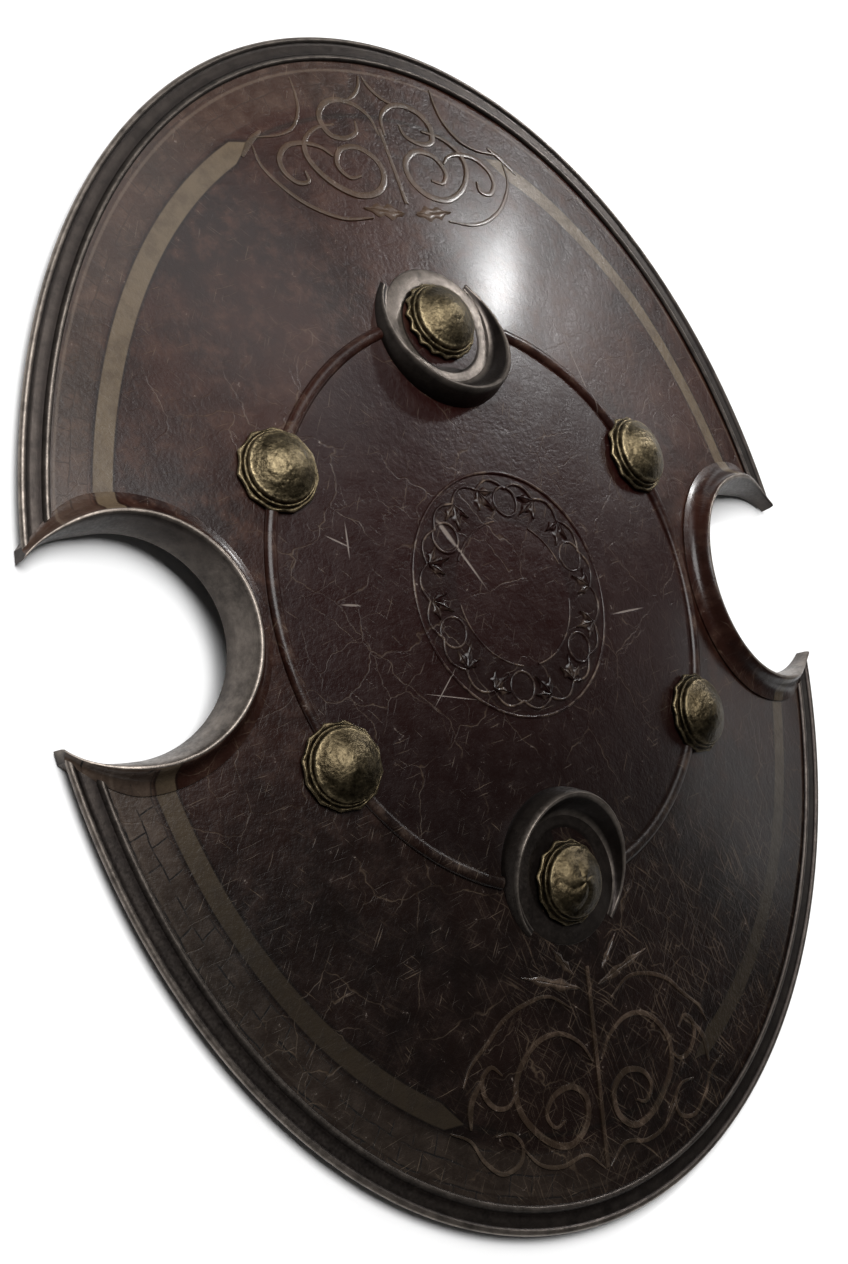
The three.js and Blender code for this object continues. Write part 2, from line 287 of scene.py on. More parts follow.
def dry_border(tree, place, base, mottle, oval, fraction, slightly):
    """The colour with the dry border and a painted highlight along the leather's edge over it, and the cracks
    between the flakes.
    """
    x, y, unused = add(tree, "SeparateXYZ", {0: place})
    oval_x, oval_y, unused = add(tree, "SeparateXYZ", {0: oval})
    angle = add(tree, "Math", {0: oval_y, 1: oval_x}, operation="ARCTAN2")[0]
    round_rim = add(tree, "CombineXYZ", {0: angle, 1: fraction})[0]
    round_rim = add(tree, "VectorMath", {0: round_rim, "Scale": MEAN_RADIUS}, operation="SCALE")[0]
    warped = add(tree, "VectorMath", {0: round_rim, 1: slightly}, operation="ADD")[0]
    crack = add(tree, "TexBrick", {"Vector": warped, **FLAKES})["Fac"]

    border = add(tree, "MapRange", {0: fraction, 1: 0.865, 2: 0.885}, **SMOOTH)[0]
    leftwards = add(tree, "MapRange", {0: x, 1: 60.0, 2: -60.0}, **SMOOTH)[0]
    downwards = add(tree, "MapRange", {0: y, 1: 130.0, 2: -70.0, 3: 0.3, 4: 1.0}, **SMOOTH)[0]
    leftwards = add(tree, "Math", {0: leftwards, 1: downwards}, operation="MULTIPLY")[0]
    dry = add(tree, "Math", {0: border, 1: leftwards}, operation="MULTIPLY")[0]
    dry = add(tree, "Math", {0: dry, 1: mottle}, operation="MULTIPLY")[0]
    base = add(tree, "Mix", {0: dry, 6: base, 7: colour("#685a4e")}, **COLOURS)[2]

    broken = add(tree, "MapRange", {0: mottle, 1: 0.4, 2: 0.56}, **SMOOTH)[0]
    broken = add(tree, "Math", {0: broken, 1: leftwards}, operation="MULTIPLY")[0]
    flaking = add(tree, "Math", {0: crack, 1: border}, operation="MULTIPLY")[0]
    flaking = add(tree, "Math", {0: flaking, 1: broken}, operation="MULTIPLY")[0]
    base = add(tree, "Mix", {0: flaking, 6: base, 7: colour("#0a0707")}, **COLOURS)[2]

    # A pale line where the leather meets the rim is a painted highlight along that edge.
    from_edge_highlight = add(tree, "Math", {0: fraction, 1: LEATHER_EDGE_HIGHLIGHT}, operation="SUBTRACT")[0]
    from_edge_highlight = add(tree, "Math", {0: from_edge_highlight}, operation="ABSOLUTE")[0]
    lip = add(tree, "MapRange", {0: from_edge_highlight, 1: 0.004, 2: 0.001, 4: 0.25}, **SMOOTH)[0]
    base = add(tree, "Mix", {0: lip, 6: base, 7: colour("#75675a")}, **COLOURS)[2]
    return base, flaking


# %% [markdown]
# A tan stripe is painted along each side of the face, with a dark line at its edges that is painted shadow,
# as of a raised edge. It narrows to a point towards the ends of the shield, where the scrollwork has the same
# paint, worn thinner. The lower half is darkened with painted shade, where the light falls off towards the
# bottom, so a last mask there takes paint and leather down together.

# %% The painted stripe
STRIPE_MIDDLE = 0.849
STRIPE_HALF_WIDTH = 0.0185
STRIPE_START = 80.0
STRIPE_TAPER = 12.0


def painted_stripe(tree, place, base, mottle, fraction, painted):
    """The colour with the painted edge shadow, the paint and the painted shade low down over it, and the
    stripe. Across is the half width less the distance to the stripe's middle, both as oval fractions, so it
    is positive on the stripe."""
    x, y, unused = add(tree, "SeparateXYZ", {0: place})
    from_middle = add(tree, "Math", {0: fraction, 1: STRIPE_MIDDLE}, operation="SUBTRACT")[0]
    from_middle = add(tree, "Math", {0: from_middle}, operation="ABSOLUTE")[0]
    sideways = add(tree, "Math", {0: x}, operation="ABSOLUTE")[0]
    half_width = add(tree, "MapRange", {0: sideways, 1: STRIPE_START, 2: STRIPE_START + STRIPE_TAPER,
                                        4: STRIPE_HALF_WIDTH})[0]
    across = add(tree, "Math", {0: half_width, 1: from_middle}, operation="SUBTRACT")[0]
    # The dark line along both edges of the stripe is painted shadow.
    outline = add(tree, "MapRange", {0: across, 1: -0.007, 2: -0.001, 4: 0.6}, **SMOOTH)[0]
    base = add(tree, "Mix", {0: outline, 6: base, 7: colour("#0a0605")}, **COLOURS)[2]
    stripe = add(tree, "MapRange", {0: across, 1: -0.001, 2: 0.002}, **SMOOTH)[0]
    paint = add(tree, "MapRange", {0: mottle, 1: 0.72, 2: 0.4, 3: 0.45, 4: 0.72}, **SMOOTH)[0]
    paint = add(tree, "Math", {0: paint, 1: 0.4 if painted else stripe}, operation="MULTIPLY")[0]
    base = add(tree, "Mix", {0: paint, 6: base, 7: colour("#655745")}, **COLOURS)[2]
    # Painted shade: paint and leather darken towards the bottom, where the light falls off.
    low = add(tree, "MapRange", {0: y, 1: 60.0, 2: -165.0, 4: 0.68 if painted else 0.84}, **SMOOTH)[0]
    base = add(tree, "Mix", {0: low, 6: base, 7: colour("#080605")}, **COLOURS)[2]
    return base, stripe


# %% [markdown]
# Wear comes last: fine scratches, hatching near the bottom, wandering cracks, scuffs, and a few gouges
# that are placed one by one. A scratch is a noise stretched along one direction. The coordinates are
# turned, then divided by a small width and a large length, and only the peaks of the noise are kept. The
# Mapping node divides before it turns, which would leave every scratch upright, so turning is a node of
# its own here.

# %% Scratches and cracks
# Each set of scratches has a turn in radians, a width and a length in millimetres, the noise that is a peak,
# and whether it is hatching. Each set of cracks has a cell size, a width as a share of it, and the cloud that
# it starts at.
SCRATCH_SETS = (
    (0.5, 0.7, 15.0, 0.83, False), (-0.75, 0.6, 12.0, 0.83, False), (1.35, 0.6, 18.0, 0.83, False),
    (-0.95, 1.0, 30.0, 0.73, True), (0.7, 0.9, 22.0, 0.76, True), (-0.35, 1.0, 34.0, 0.74, True),
)
CRACK_SETS = ((46.0, 0.011, 0.44), (24.0, 0.016, 0.52))
FLAT_CELLS = {"voronoi_dimensions": "2D", "feature": "DISTANCE_TO_EDGE"}


def scratch_mask(tree, place, cloud, wander, slightly):
    """The largest of all scratch and crack masks."""
    x, y, unused = add(tree, "SeparateXYZ", {0: place})
    hatched = add(tree, "MapRange", {0: y, 1: -90.0, 2: -150.0, 4: 0.75}, **SMOOTH)[0]
    rightwards = add(tree, "MapRange", {0: x, 1: -90.0, 2: 10.0, 3: 0.15, 4: 1.0}, **SMOOTH)[0]
    hatched = add(tree, "Math", {0: hatched, 1: rightwards}, operation="MULTIPLY")[0]
    bent = add(tree, "VectorMath", {0: place, 1: slightly}, operation="ADD")[0]
    scratches = 0.0
    for turn, width, length, peak, hatching in SCRATCH_SETS:
        turned = add(tree, "VectorRotate", {0: bent, 3: turn}, rotation_type="Z_AXIS")[0]
        turned = add(tree, "VectorMath", {0: turned, 1: (1 / width, 1 / length, 0)}, operation="MULTIPLY")[0]
        lines = add(tree, "TexNoise", {"Vector": turned, "Scale": 1.0, "Detail": 0.0}, **FLAT)[0]
        lines = add(tree, "MapRange", {0: lines, 1: peak, 2: peak + 0.09})[0]
        if hatching:
            lines = add(tree, "Math", {0: lines, 1: hatched}, operation="MULTIPLY")[0]
        scratches = add(tree, "Math", {0: scratches, 1: lines}, operation="MAXIMUM")[0]

    wavy = add(tree, "VectorMath", {0: place, 1: wander}, operation="ADD")[0]
    below_top = add(tree, "MapRange", {0: y, 1: 190.0, 2: 110.0}, **SMOOTH)[0]
    for size, width, start in CRACK_SETS:
        lines = add(tree, "TexVoronoi", {"Vector": wavy, "Scale": 1 / size}, **FLAT_CELLS)[0]
        lines = add(tree, "MapRange", {0: lines, 1: width, 2: 0.0})[0]
        patch = add(tree, "MapRange", {0: cloud, 1: start, 2: start + 0.1, 4: 0.8})[0]
        patch = add(tree, "Math", {0: patch, 1: below_top}, operation="MULTIPLY")[0]
        lines = add(tree, "Math", {0: lines, 1: patch}, operation="MULTIPLY")[0]
        scratches = add(tree, "Math", {0: scratches, 1: lines}, operation="MAXIMUM")[0]
    return scratches


# %% Gouges
# Each gouge has the x and y of its middle and a length in millimetres, a turn in radians, and a half width.
GOUGES = (
    (-28, 21, 44, -1.05, 0.8), (-35, 33, 20, -1.05, 1.7), (81, -14, 31, 0.08, 0.6), (-99, 3, 12, -0.15, 0.7),
    (-98, 34, 16, -0.54, 0.5), (-93, 34, 20, -1.7, 0.5), (-56, -42, 26, 0.81, 0.35),
    (-53, -47, 34, -0.21, 0.3), (96, 117, 53, -1.39, 0.4),
)


def gouge_mask(tree, place):
    """Thin ovals: the place is turned along each gouge and divided by its half length and half width."""
    gouges = 0.0
    for middle_x, middle_y, length, turn, half_width in GOUGES:
        centred = add(tree, "VectorMath", {0: place, 1: (middle_x, middle_y, 0)}, operation="SUBTRACT")[0]
        laid = add(tree, "VectorRotate", {0: centred, 3: turn}, rotation_type="Z_AXIS", invert=True)[0]
        laid = add(tree, "VectorMath", {0: laid, 1: (2 / length, 1 / half_width, 0)}, operation="MULTIPLY")[0]
        laid = add(tree, "VectorMath", {0: laid}, operation="LENGTH")["Value"]
        line = add(tree, "MapRange", {0: laid, 1: 1.0, 2: 0.5})[0]
        gouges = add(tree, "Math", {0: gouges, 1: line}, operation="MAXIMUM")[0]
    return gouges


# %% [markdown]
# The layers come together under a varnish, which is a weak clear coat over a dielectric base. The mottle
# and the grain also make a bump, and cuts sink into it. Pores in real leather are finer than the 2.4 mm
# of this grain, which is as coarse as it needs to be to show.

# %% The leather of the front


def leather_material(name, painted):
    """Leather with all its layers. A painted one is tan all over, worn back to the leather."""
    material, tree, place = new_material(name)
    broad = {"Vector": place, "Scale": 1 / 75, "Detail": 4.0, "Roughness": 0.62}
    medium = {"Vector": place, "Scale": 1 / 13, "Detail": 5.0, "Roughness": 0.7}
    fine = {"Vector": place, "Scale": 1 / 2.4, "Detail": 2.0, "Roughness": 0.6}
    cloud, mottle, grain = (add(tree, "TexNoise", inputs, **FLAT)[0] for inputs in (broad, medium, fine))
    wander = add(tree, "TexNoise", {"Vector": place, "Scale": 1 / 22, "Detail": 3.0}, **FLAT)["Color"]
    wander = add(tree, "VectorMath", {0: wander, 1: (0.5, 0.5, 0.5)}, operation="SUBTRACT")[0]
    wander = add(tree, "VectorMath", {0: wander, "Scale": 16.0}, operation="SCALE")[0]
    slightly = add(tree, "VectorMath", {0: wander, "Scale": 0.2}, operation="SCALE")[0]
    oval = add(tree, "VectorMath", {0: place, 1: (1 / HALF_WIDTH, 1 / HALF_HEIGHT, 0)},
               operation="MULTIPLY")[0]
    fraction = add(tree, "VectorMath", {0: oval}, operation="LENGTH")["Value"]

    base, dusty = dyed_hide(tree, place, cloud, mottle)
    base, flaking = dry_border(tree, place, base, mottle, oval, fraction, slightly)
    base, stripe = painted_stripe(tree, place, base, mottle, fraction, painted)
    unpainted = add(tree, "MapRange", {0: stripe, 3: 1.0, 4: 0.25})[0]
    scratches = scratch_mask(tree, place, cloud, wander, slightly)
    scratches = add(tree, "Math", {0: scratches, 1: unpainted}, operation="MULTIPLY")[0]
    pale = add(tree, "MapRange", {0: mottle, 1: 0.38, 2: 0.62, 3: 0.08, 4: 0.4})[0]
    pale = add(tree, "Math", {0: scratches, 1: pale}, operation="MULTIPLY")[0]
    base = add(tree, "Mix", {0: pale, 6: base, 7: colour("#665747")}, **COLOURS)[2]

    gouges = gouge_mask(tree, place)
    bent = add(tree, "VectorMath", {0: place, 1: slightly}, operation="ADD")[0]
    spots = {"Vector": bent, "Scale": 1 / 6.5, "Detail": 6.0, "Roughness": 0.75}
    scuffs = add(tree, "TexNoise", spots, **FLAT)[0]
    scuffs = add(tree, "MapRange", {0: scuffs, 1: 0.69, 2: 0.76, 4: 0.6})[0]
    scuffs = add(tree, "Math", {0: scuffs, 1: unpainted}, operation="MULTIPLY")[0]
    scuffs = add(tree, "Math", {0: gouges, 1: 0.6, 2: scuffs}, operation="MULTIPLY_ADD", use_clamp=True)[0]
    base = add(tree, "Mix", {0: scuffs, 6: base, 7: colour("#857a72")}, **COLOURS)[2]
    worn = add(tree, "Attribute", {}, attribute_name="worn")["Fac"]
    rubbed = add(tree, "Math", {0: worn, 1: dusty}, operation="MULTIPLY")[0]
    base = add(tree, "Mix", {0: rubbed, 6: base, 7: colour("#66574a")}, **COLOURS)[2]

    rough = add(tree, "MapRange", {0: mottle, 1: 0.3, 2: 0.7, 3: 0.3, 4: 0.46})[0]
    rough = add(tree, "Math", {0: flaking, 1: 0.3, 2: rough}, operation="MULTIPLY_ADD")[0]
    height = add(tree, "Math", {0: mottle, 1: 3.0, 2: grain}, operation="MULTIPLY_ADD")[0]
    cuts = add(tree, "Math", {0: flaking, 1: scratches}, operation="ADD")[0]
    cuts = add(tree, "Math", {0: cuts, 1: gouges}, operation="ADD")[0]
    height = add(tree, "Math", {0: cuts, 1: -0.9, 2: height}, operation="MULTIPLY_ADD")[0]
    bump = add(tree, "Bump", {"Height": height, "Strength": 0.3, "Distance": 0.0006})[0]
    skin = {"Base Color": base, "Roughness": rough, "Normal": bump, "IOR": 1.5, "Specular IOR Level": 0.14,
            "Coat Weight": 0.25, "Coat Roughness": 0.195}
    surface = add(tree, "BsdfPrincipled", skin)[0]
    add(tree, "OutputMaterial", {"Surface": surface})
    return material


leather = leather_material("tooled leather", painted=False)
tan_leather = leather_material("tan painted leather", painted=True)

# %% [markdown]
# Blackened steel is steel oiled and heated until its skin turns blue-black. It is a metal, so its colour is
# its reflection: dark where the skin holds, grey and brighter along the edges, where the worn value is high.
# On the collars' walls and the cups' plates that value also carries painted light and shade.

# %% Blackened steel
steel, tree, place = new_material("blackened steel")
brushed = add(tree, "TexNoise", {"Vector": place, "Scale": 1 / 9, "Detail": 7.0, "Roughness": 0.7})[0]
specks = add(tree, "TexNoise", {"Vector": place, "Scale": 1 / 1.6, "Detail": 3.0})[0]
worn = add(tree, "Attribute", {}, attribute_name="worn")["Fac"]
uneven = add(tree, "MapRange", {0: brushed, 1: 0.32, 2: 0.68, 3: 0.35, 4: 1.3})[0]
bright = add(tree, "Math", {0: worn, 1: uneven}, operation="MULTIPLY", use_clamp=True)[0]
skin_colour = add(tree, "Mix", {0: uneven, 6: colour("#120e0d"), 7: colour("#241e1b")}, **COLOURS)[2]
metal_colour = add(tree, "Mix", {0: bright, 6: skin_colour, 7: colour("#7d746c")}, **COLOURS)[2]
rough = add(tree, "MapRange", {0: specks, 1: 0.3, 2: 0.7, 3: 0.3, 4: 0.5})[0]
bump = add(tree, "Bump", {"Height": brushed, "Strength": 0.25, "Distance": 0.0008})[0]
surface = add(tree, "BsdfPrincipled", {"Base Color": metal_colour, "Metallic": 0.8, "Roughness": rough,
                                       "Normal": bump})[0]
add(tree, "OutputMaterial", {"Surface": surface})

# %% [markdown]
# Antique brass is yellow metal gone brown: the hollows keep a nearly black tarnish and the high places
# stay gold.

# %% Antique brass
brass, tree, place = new_material("antique brass")
cloud = add(tree, "TexNoise", {"Vector": place, "Scale": 1 / 6, "Detail": 6.0, "Roughness": 0.7})[0]
worn = add(tree, "Attribute", {}, attribute_name="worn")["Fac"]
specks = add(tree, "TexNoise", {"Vector": place, "Scale": 1 / 1.3, "Detail": 3.0, "Roughness": 0.7})[0]
mixed = add(tree, "Math", {0: cloud, 1: specks}, operation="ADD")[0]
uneven = add(tree, "MapRange", {0: mixed, 1: 0.75, 2: 1.25, 3: 0.25, 4: 1.25})[0]
bright = add(tree, "Math", {0: worn, 1: uneven}, operation="MULTIPLY", use_clamp=True)[0]
metal_colour = add(tree, "Mix", {0: bright, 6: colour("#171007"), 7: colour("#9a8b6d")}, **COLOURS)[2]
rough = add(tree, "MapRange", {0: cloud, 1: 0.3, 2: 0.7, 3: 0.3, 4: 0.52})[0]
dents = add(tree, "TexVoronoi", {"Vector": place, "Scale": 1 / 2.2}, feature="SMOOTH_F1")[0]
height = add(tree, "Math", {0: mixed, 1: 0.9, 2: dents}, operation="MULTIPLY_ADD")[0]
bump = add(tree, "Bump", {"Height": height, "Strength": 0.45, "Distance": 0.0006})[0]
surface = add(tree, "BsdfPrincipled", {"Base Color": metal_colour, "Metallic": 1.0, "Roughness": rough,
                                       "Normal": bump})[0]
add(tree, "OutputMaterial", {"Surface": surface})

# %% [markdown]
# The back is plainer: a matt suede lining glued over the board, and oiled strap leather with a soft
# shine, sewn with waxed thread. They differ only in two colours, in roughness and in the size of their
# nap, so one loop makes all three. A real nap is finer, and would not show.

# %% Lining, strap leather and thread
plain_finishes = {}
for name, dark, light, size, roughness in (
    ("suede lining", "#2b1f18", "#4a382b", 1.4, 0.9),
    ("oiled strap leather", "#2a1810", "#4d3020", 1.0, 0.55),
    ("waxed thread", "#8a7553", "#b8a27a", 0.5, 0.7),
):
    material, tree, place = new_material(name)
    cloud = add(tree, "TexNoise", {"Vector": place, "Scale": 1 / 40, "Detail": 5.0})[0]
    nap = add(tree, "TexNoise", {"Vector": place, "Scale": 1 / size, "Detail": 4.0, "Roughness": 0.7})[0]
    mixed = add(tree, "Math", {0: cloud, 1: nap}, operation="MULTIPLY")[0]
    mixed = add(tree, "MapRange", {0: mixed, 1: 0.14, 2: 0.4})[0]
    base = add(tree, "Mix", {0: mixed, 6: colour(dark), 7: colour(light)}, **COLOURS)[2]
    bump = add(tree, "Bump", {"Height": nap, "Strength": 0.4, "Distance": 0.0004})[0]
    surface = add(tree, "BsdfPrincipled", {"Base Color": base, "Roughness": roughness, "Normal": bump})[0]
    add(tree, "OutputMaterial", {"Surface": surface})
    plain_finishes[name] = material
print("materials:", [m.name for m in bpy.data.materials])

# %% [markdown]
# The board is one sheet that follows the dome, cut to the oval and to the two round holes. A square grid
# is trimmed: cells with a corner inside stay, and their outside corners move onto the cut line, where the
# rim or a collar covers them. A copy of the sheet 6 mm lower is the back, and quads along the open edge
# join the two.

# %% The leather board
BOARD_STEP = 2.3
BOARD_INSET = 10.3
BOARD_THICKNESS = 6.0
CUTOUT_X = 213.0
BOARD_HOLE_RADIUS = 57.0
DENT_HEIGHT = 0.35

board_half_width = HALF_WIDTH - BOARD_INSET
board_half_height = HALF_HEIGHT - BOARD_INSET
steps_x = math.ceil(board_half_width / BOARD_STEP) + 1
steps_y = math.ceil(board_half_height / BOARD_STEP) + 1
columns = np.arange(-steps_x, steps_x + 1) * BOARD_STEP
rows = np.arange(-steps_y, steps_y + 1) * BOARD_STEP
x, y = np.meshgrid(columns, rows)
out = np.hypot(x / board_half_width, y / board_half_height)
from_hole = np.maximum(np.hypot(np.abs(x) - CUTOUT_X, y), 1e-6)
inside = ((out < 1) & (from_hole > BOARD_HOLE_RADIUS)).ravel()
quads = grid_quads(*x.shape)
quads = quads[inside[quads].any(axis=1)]
x = x / np.maximum(out, 1)
y = y / np.maximum(out, 1)
push = np.maximum(BOARD_HOLE_RADIUS / np.maximum(np.hypot(np.abs(x) - CUTOUT_X, y), 1e-6), 1)
x = np.sign(x) * (CUTOUT_X + (np.abs(x) - CUTOUT_X) * push)
y = y * push
used, quads = np.unique(quads, return_inverse=True)
quads = quads.reshape(-1, 4)
x = x.ravel()[used]
y = y.ravel()[used]
dents = np.sin(x / 31 + 1.3 * np.sin(y / 47)) * np.sin(y / 26 + 1.7 * np.sin(x / 39 + 0.8))
front = on_face(x, y, DENT_HEIGHT * dents)
back = np.stack([x, y, face_height(x, y) - BOARD_THICKNESS], axis=-1)
edges = np.concatenate([quads[:, [k, (k + 1) % 4]] for k in range(4)])
unused, first, times = np.unique(np.sort(edges, axis=1), axis=0, return_index=True, return_counts=True)
border = edges[first[times == 1]]
walls = np.stack([border[:, 1], border[:, 0], border[:, 0] + len(x), border[:, 1] + len(x)], axis=-1)
board_faces = np.concatenate([quads, quads[:, ::-1] + len(x), walls])
is_back = np.arange(len(board_faces)) >= len(quads)
board_skin = (np.concatenate([front, back]), board_faces, np.zeros(2 * len(x)))
board_finishes = [leather, plain_finishes["suede lining"]]
add_piece("leather_board", board_skin, ["board"], board_finishes, is_back)

# %% [markdown]
# Ridges and ornament on the leather are bands: a small cross section carried along a line in plan, lying
# on the dome. The line is a smooth curve through a few points, as a tooler would sketch it before
# cutting.

# %% Bands on the face
BAND_FOOT = 0.6
turns = np.linspace(0, math.pi, 9)
ROUND_SECTION = np.concatenate([np.stack([np.cos(turns), np.sin(turns)], axis=-1), [(-1, -1), (1, -1)]])
FLAT_SECTION = np.array([(1, 0), (0.9, 0.8), (0.6, 1), (0, 0.9), (-0.6, 1), (-0.9, 0.8), (-1, 0),
                         (-1, -1), (1, -1)])
LEAF_SECTION = np.array([(1, 0), (0.6, 0.8), (0.2, 1), (0, 0.5), (-0.2, 1), (-0.6, 0.8), (-1, 0),
                         (-1, -1), (1, -1)])


def smooth_line(points, steps):
    """A Catmull-Rom curve: cubic stretches whose slope at a point is half the step between its neighbours."""
    points = np.asarray(points, float)
    points = np.concatenate([2 * points[:1] - points[1:2], points, 2 * points[-1:] - points[-2:-1]])
    u = np.linspace(0, len(points) - 3, steps)
    start = np.minimum(u.astype(int), len(points) - 4)
    t = (u - start)[:, None]
    a, b, c, d = (points[start + k] for k in range(4))
    return b + 0.5 * t * (c - a + t * (2 * a - 5 * b + 4 * c - d + t * (3 * b - a - 3 * c + d)))


def band(path, half_width, height, section, ring=False, worn=0.8):
    """A section carried along a path in plan, on the face: its across times the half width, its up times the
    height. A negative up sinks the foot into the leather. The top of the section is the worn part."""
    path = np.asarray(path, float)
    ahead = np.roll(path, -1, axis=0) - np.roll(path, 1, axis=0) if ring else np.gradient(path, axis=0)
    ahead = ahead / np.linalg.norm(ahead, axis=1, keepdims=True)
    half_width = np.broadcast_to(half_width, len(path))[:, None]
    height = np.broadcast_to(height, len(path))[:, None]
    across, up = section.T
    x = path[:, :1] - ahead[:, 1:] * half_width * across
    y = path[:, 1:] + ahead[:, :1] * half_width * across
    lift = np.where(up < 0, up * BAND_FOOT, up * height)
    return tube(on_face(x, y, lift), worn * np.clip(2 * up - 1, 0, 1), ring)


# %% [markdown]
# A cord under the leather raises the oval bead. It stops at the bosses and cups, so it is six arcs of one
# oval.

# %% The oval bead
BEAD_HALF_WIDTH = 3.4
BEAD_RISE = 2.6
CUP_Y = 140.5
END_BOSS_Y = 144.0
SIDE_BOSS = (121.0, 71.0)
BEAD_STOPS = [(0, CUP_Y, 40.0), (0, -CUP_Y, 40.0)]
BEAD_STOPS += [(sx * SIDE_BOSS[0], sy * SIDE_BOSS[1], 14.0) for sx in (1, -1) for sy in (1, -1)]

turn = np.linspace(0, 2 * math.pi, 1201)[:-1]
oval = np.stack([INNER_HALF_WIDTH * np.cos(turn), INNER_HALF_HEIGHT * np.sin(turn)], axis=-1)
clear = np.ones(len(oval), bool)
for stop_x, stop_y, reach in BEAD_STOPS:
    clear &= np.hypot(oval[:, 0] - stop_x, oval[:, 1] - stop_y) > reach
shift = int(np.argmin(clear))
oval = np.roll(oval, -shift, axis=0)
clear = np.roll(clear, -shift)
changes = np.flatnonzero(np.diff(clear.astype(int))) + 1
runs = [run for run, free in zip(np.split(oval, changes), np.split(clear, changes)) if free[0]]
bead = joined([band(run[::3], BEAD_HALF_WIDTH, BEAD_RISE, ROUND_SECTION, worn=0.2) for run in runs])
print("bead arcs:", len(runs))
add_piece("oval_bead", bead, [], [leather])

# %% [markdown]
# The medallion in the middle is a tooled ring: a fine raised circle, a scalloped line inside it, then
# small discs and three-lobed leaves in turn, and an inner circle that wear has broken into arcs. All of
# it is bands of the same few kinds, so it takes one loop round the ring.

# %% The medallion
MEDALLION_RADIUS = 62.5
INNER_CIRCLE_RADIUS = 37.0
INNER_ARCS = ((95, 150), (185, 262), (278, 352), (20, 60))
SCALLOPS = 18
SCALLOP_INSET = 8.0
SCALLOP_RISE = 4.0
DISC_PLACE_RADIUS = 47.5
DISC_RADIUS = 7.6
LEAF_ROOT_RADIUS = 53.5
LEAF_HALF_WIDTH = 2.6
LEAF_HEIGHT = 1.2
LEAF_LOBES = ((0.0, 13.0), (0.8, 10.0), (-0.8, 10.0))
LEAF_LEAN = 0.5


def ring_line(radius, steps=260):
    """A circle in plan. The radius may change with the angle."""
    turn = np.linspace(0, 2 * math.pi, steps + 1)[:-1]
    radius = radius(turn) if callable(radius) else radius
    return np.stack([radius * np.cos(turn), radius * np.sin(turn)], axis=-1)


def scalloped(angle):
    """The medallion's radius, less the inset, plus the rise times the size of a sine of the angle."""
    return MEDALLION_RADIUS - SCALLOP_INSET + SCALLOP_RISE * np.abs(np.sin(SCALLOPS * angle / 2))


def arc_line(radius, start, end, steps=80):
    """Part of a circle in plan, its angles in degrees."""
    turn = np.radians(np.linspace(start, end, steps))
    return np.stack([radius * np.cos(turn), radius * np.sin(turn)], axis=-1)


def leaf(x, y, turn, length, half_width, height=0.8, lobes=2):
    """A band along a straight midrib. Its width swells once along the leaf, with a few lobes on that."""
    s = np.linspace(0, 1, 15)
    path = np.stack([x + length * s * math.cos(turn), y + length * s * math.sin(turn)], axis=-1)
    width = half_width * (0.06 + np.sin(math.pi * s ** 0.8) * (0.8 + 0.3 * np.cos(2 * math.pi * lobes * s)))
    return band(path, np.maximum(width, 0.05), height, LEAF_SECTION, worn=0.6)


medallion = [
    band(ring_line(MEDALLION_RADIUS), 0.9, 0.9, ROUND_SECTION, ring=True, worn=1.0),
    band(ring_line(scalloped, 640), 0.8, 0.8, ROUND_SECTION, ring=True, worn=1.0),
]
for start, end in INNER_ARCS:
    medallion.append(band(arc_line(INNER_CIRCLE_RADIUS, start, end), 0.6, 0.6, ROUND_SECTION, worn=0.8))
for scallop in range(SCALLOPS):
    turn = 2 * math.pi * scallop / SCALLOPS
    outwards = np.array([math.cos(turn), math.sin(turn)])
    if scallop % 3 == 1:
        disc = DISC_PLACE_RADIUS * outwards + ring_line(DISC_RADIUS, 60)
        medallion.append(band(disc, 0.8, 0.7, ROUND_SECTION, ring=True, worn=0.7))
        continue
    inwards = turn + math.pi + (LEAF_LEAN if scallop % 3 else -LEAF_LEAN)
    for spread, length in LEAF_LOBES:
        root_x, root_y = LEAF_ROOT_RADIUS * outwards
        medallion.append(leaf(root_x, root_y, inwards + spread, length, LEAF_HALF_WIDTH, LEAF_HEIGHT))
add_piece("medallion", joined(medallion), [], [leather])

# %% [markdown]
# Scrollwork fills both ends of the shield: tan bands that curl into loops on each side of a stem. Each
# stroke is given for the right half of the shield and mirrored. A stroke swells in the middle and thins
# to its ends.

# %% The scrollwork
# A stroke has a half width and its points. A spray is a leaf: its place, turn, length and half width.
SCROLL_AXIS = 7.0
SCROLL_HEIGHT = 0.55
SCROLL_WIDTH = 0.8
SCROLL_WORN = 0.35
STEM_HALF_WIDTH = 1.3
STEMS = ((256, 212), (-186, -284))
SPRAYS = ((4, 206, 0.1, 26, 4.5), (6, -196, 0.3, 40, 3), (10, -189, 0.9, 20, 2.5))
TOP_STROKES = [
    (2.3, [(2, 252), (4, 263), (12, 270), (23, 272), (33, 268), (38, 260), (35, 251), (26, 249), (17, 253),
           (15, 260)]),
    (2.4, [(30, 257), (43, 254), (53, 246), (54, 235), (45, 223), (31, 216), (17, 218), (9, 227), (10, 237),
           (20, 244), (32, 242), (37, 233), (32, 226), (24, 227)]),
    (2.0, [(38, 238), (44, 243), (54, 245), (65, 243), (72, 236), (72, 228), (66, 222), (59, 223),
           (59, 229)]),
    (1.5, [(86, 243), (84, 230), (73, 216), (60, 207), (44, 202), (26, 203)]),
    (1.2, [(48, 284), (48, 274), (50, 264), (57, 254), (68, 249), (84, 247)]),
    (1.4, [(1, 288), (4, 281), (10, 275), (18, 271)]),
]
